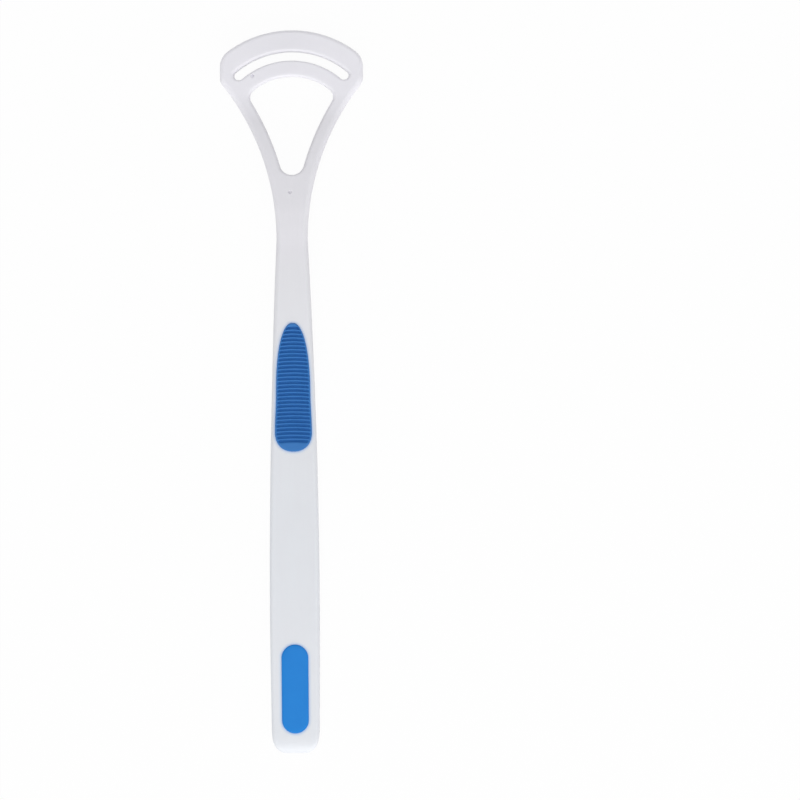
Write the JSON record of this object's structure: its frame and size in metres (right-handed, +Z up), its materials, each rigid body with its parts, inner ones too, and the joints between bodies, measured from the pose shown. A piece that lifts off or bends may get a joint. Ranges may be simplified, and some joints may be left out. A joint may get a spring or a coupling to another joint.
{
  "type": "tongue scraper",
  "caption": "Flat tongue scraper with a forked head that carries arched scraping bands, a ribbed soft thumb grip and a soft end pad.",
  "frame": {"origin": "middle of the bounding box in X and Y, on the surface that the scraper lies on", "axes": "+Y from the tail of the handle towards the head, +Z up through the side with the thumb grip, +X across the handle"},
  "size_m": [0.0368, 0.185, 0.0072],
  "materials": {
    "white_plastic": "satin, slightly translucent",
    "grip_rubber": "soft matte",
    "pad_rubber": "soft satin"
  },
  "bodies": {
    "root": {"body": "white_plastic", "thumb_grip": "grip_rubber", "end_pad": "pad_rubber"}
  },
  "joints": []
}
